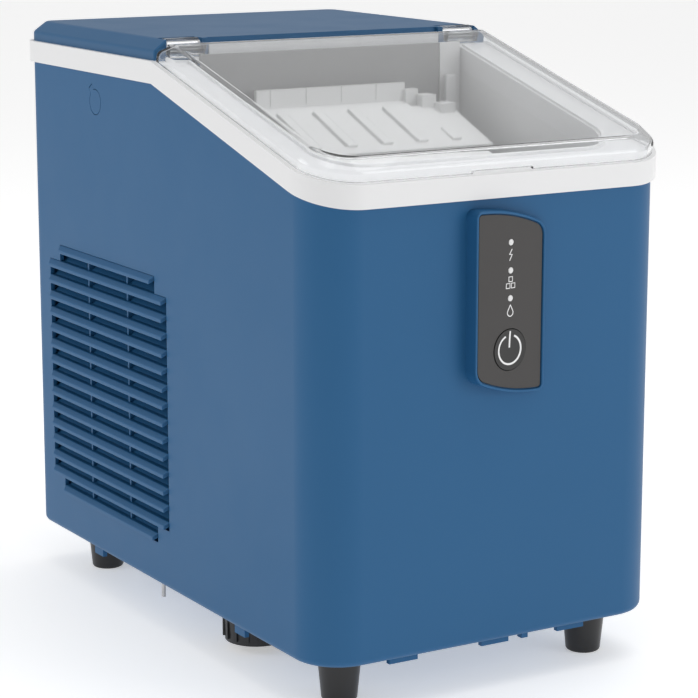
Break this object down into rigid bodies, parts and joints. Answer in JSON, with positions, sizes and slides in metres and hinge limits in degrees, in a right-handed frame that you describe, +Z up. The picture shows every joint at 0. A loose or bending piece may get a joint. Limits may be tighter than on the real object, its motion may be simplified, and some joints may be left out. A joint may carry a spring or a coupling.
{
  "type": "countertop ice maker",
  "caption": "Countertop ice maker with a moulded shell, sloping clear lid over an ice bin, side louvres, front control panel and four feet.",
  "frame": {"origin": "on the table under the middle of the object, at the feet's soles", "axes": "+Z up, -Y out of the front with the control panel, +X to the right seen from the front"},
  "size_m": [0.216, 0.3568, 0.3266],
  "materials": {
    "blue_shell": "satin",
    "white_trim": "satin",
    "clear_lid": "clear polished",
    "white_liner": "satin",
    "basket": "satin",
    "foam": "matte",
    "grey_curtain": "satin",
    "plated_metal": "plated",
    "aluminium_fin": "mill",
    "dark_overlay": "satin",
    "dark_button": "satin",
    "lens": "frosted",
    "circuit_board": "lacquered",
    "rubber_feet": "matte",
    "black_plastic": "satin",
    "screw_steel": "zinc plated",
    "motor_case": "satin",
    "compressor_black": "satin black",
    "copper": "drawn copper",
    "hose": "satin",
    "impeller": "satin"
  },
  "bodies": {
    "root": {"outer_shell": "blue_shell", "side_grille_left": "blue_shell", "side_grille_right": "blue_shell", "rear_panel": "blue_shell", "rear_panel_screws": "screw_steel", "base_pan": "blue_shell", "foot_front_left": "rubber_feet", "foot_front_right": "rubber_feet", "foot_rear_left": "rubber_feet", "foot_rear_right": "rubber_feet", "foot_screws": "screw_steel", "trim_frame": "white_trim", "top_deck": "blue_shell", "service_plug": "blue_shell", "cord_gland": "black_plastic", "lid_hinge_pins": "screw_steel", "panel_plinth": "blue_shell", "panel_overlay": "dark_overlay", "indicator_lenses": "lens", "control_board": "circuit_board", "bin_liner": "white_liner", "bin_insulation": "foam", "evaporator_curtain": "grey_curtain", "evaporator": "plated_metal", "tray_bearing_bracket": "white_liner", "tray_gearmotor": "motor_case", "mechanism_cover": "white_liner", "shovel_rails": "white_liner", "water_pump": "black_plastic", "fill_hose": "hose", "pump_hose": "hose", "float_stem": "white_liner", "drain_spout": "white_liner", "compressor": "compressor_black", "compressor_grommets": "rubber_feet", "compressor_bolts": "screw_steel", "condenser": "aluminium_fin", "fan_frame": "black_plastic", "fan_motor": "motor_case", "suction_pipe": "copper", "discharge_pipe": "copper", "filter_drier": "copper", "gas_valve": "plated_metal", "power_board": "circuit_board", "earth_stud": "screw_steel"},
    "lid": {"lid": "clear_lid"},
    "power_button": {"power_button": "dark_button"},
    "water_tray": {"water_tray": "white_liner"},
    "ice_shovel": {"ice_shovel": "white_liner"},
    "ice_basket": {"ice_basket": "basket"},
    "drain_cap": {"drain_cap": "black_plastic"},
    "fan_rotor": {"fan_rotor": "black_plastic"},
    "pump_impeller": {"pump_impeller": "impeller"},
    "water_float": {"water_float": "impeller"},
    "ice_full_lever": {"ice_full_lever": "white_liner"}
  },
  "joints": [
    {"name": "lid_hinge", "type": "hinge", "parent": "root", "child": "lid", "pos_m": [0, 0.008, 0.322], "axis": [-1, 0, 0], "range_deg": [0, 105]},
    {"name": "power_button_press", "type": "slide", "parent": "root", "child": "power_button", "axis": [-0.1306, 0.9914, 0], "range_m": [0, 0.0012], "stiffness_N_per_m": 400},
    {"name": "tray_tilt", "type": "hinge", "parent": "root", "child": "water_tray", "pos_m": [0, 0.038, 0.278], "axis": [1, 0, 0], "range_deg": [0, 90]},
    {"name": "shovel_slide", "type": "slide", "parent": "root", "child": "ice_shovel", "axis": [0, -1, 0], "range_m": [0, 0.024]},
    {"name": "basket_lift", "type": "slide", "parent": "root", "child": "ice_basket", "axis": [0, 0, 1], "range_m": [0, 0.018]},
    {"name": "drain_cap_turn", "type": "hinge", "parent": "root", "child": "drain_cap", "pos_m": [-0.073, -0.046, 0.014], "axis": [0, 0, -1], "range_deg": [0, 360]},
    {"name": "fan_spin", "type": "hinge", "parent": "root", "child": "fan_rotor", "pos_m": [-0.088, 0.068, 0.1261], "axis": [1, 0, 0], "continuous": true},
    {"name": "impeller_spin", "type": "hinge", "parent": "root", "child": "pump_impeller", "pos_m": [-0.053, 0.03, 0.05], "axis": [0, 1, 0], "continuous": true},
    {"name": "float_rise", "type": "slide", "parent": "root", "child": "water_float", "axis": [0, 0, 1], "range_m": [0, 0.014]},
    {"name": "ice_full_swing", "type": "hinge", "parent": "root", "child": "ice_full_lever", "pos_m": [0.073, -0.008, 0.286], "axis": [0, -1, 0], "range_deg": [0, 15]}
  ],
  "couplings": [
    {"joint": "shovel_slide", "follows": "tray_tilt", "m_per_rad": 0.0152}
  ]
}
